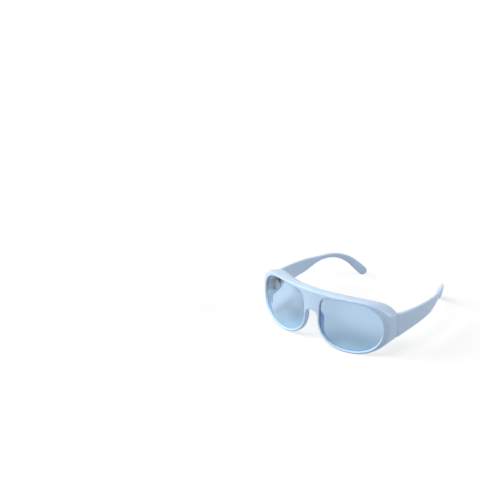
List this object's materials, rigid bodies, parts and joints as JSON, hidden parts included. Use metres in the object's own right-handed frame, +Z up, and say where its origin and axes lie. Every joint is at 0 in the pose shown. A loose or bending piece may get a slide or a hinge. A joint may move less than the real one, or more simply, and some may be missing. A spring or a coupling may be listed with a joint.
{
  "type": "laser safety glasses",
  "caption": "Wraparound laser safety glasses with a moulded front, brow shelf and side wings, curved filter lenses, and wide hooked temples that fold on metal barrel hinges.",
  "frame": {"origin": "middle of the open glasses, on the surface that they rest on", "axes": "+X to the wearer's left, +Y back towards the ears, +Z up; the temples are open at rest"},
  "size_m": [0.153, 0.1622, 0.056],
  "materials": {
    "plastic": "satin moulded",
    "filter": "polished, see-through",
    "steel": "nickel-plated"
  },
  "bodies": {
    "front": {"front_frame": "plastic", "lens_left": "filter", "lens_right": "filter", "hinge_front_leaf_left": "steel", "hinge_front_leaf_right": "steel", "front_leaf_screws_left": "steel", "front_leaf_screws_right": "steel", "pivot_screw_left": "steel", "pivot_screw_right": "steel"},
    "left_temple": {"temple_left": "plastic", "hinge_temple_leaf_left": "steel", "temple_leaf_screws_left": "steel"},
    "right_temple": {"temple_right": "plastic", "hinge_temple_leaf_right": "steel", "temple_leaf_screws_right": "steel"}
  },
  "joints": [
    {"name": "left_temple_fold", "type": "hinge", "parent": "front", "child": "left_temple", "pos_m": [0.06765, -0.04727, 0.0284], "axis": [0, 0, 1], "range_deg": [0, 82]},
    {"name": "right_temple_fold", "type": "hinge", "parent": "front", "child": "right_temple", "pos_m": [-0.06765, -0.04727, 0.0284], "axis": [0, 0, -1], "range_deg": [0, 74]}
  ]
}
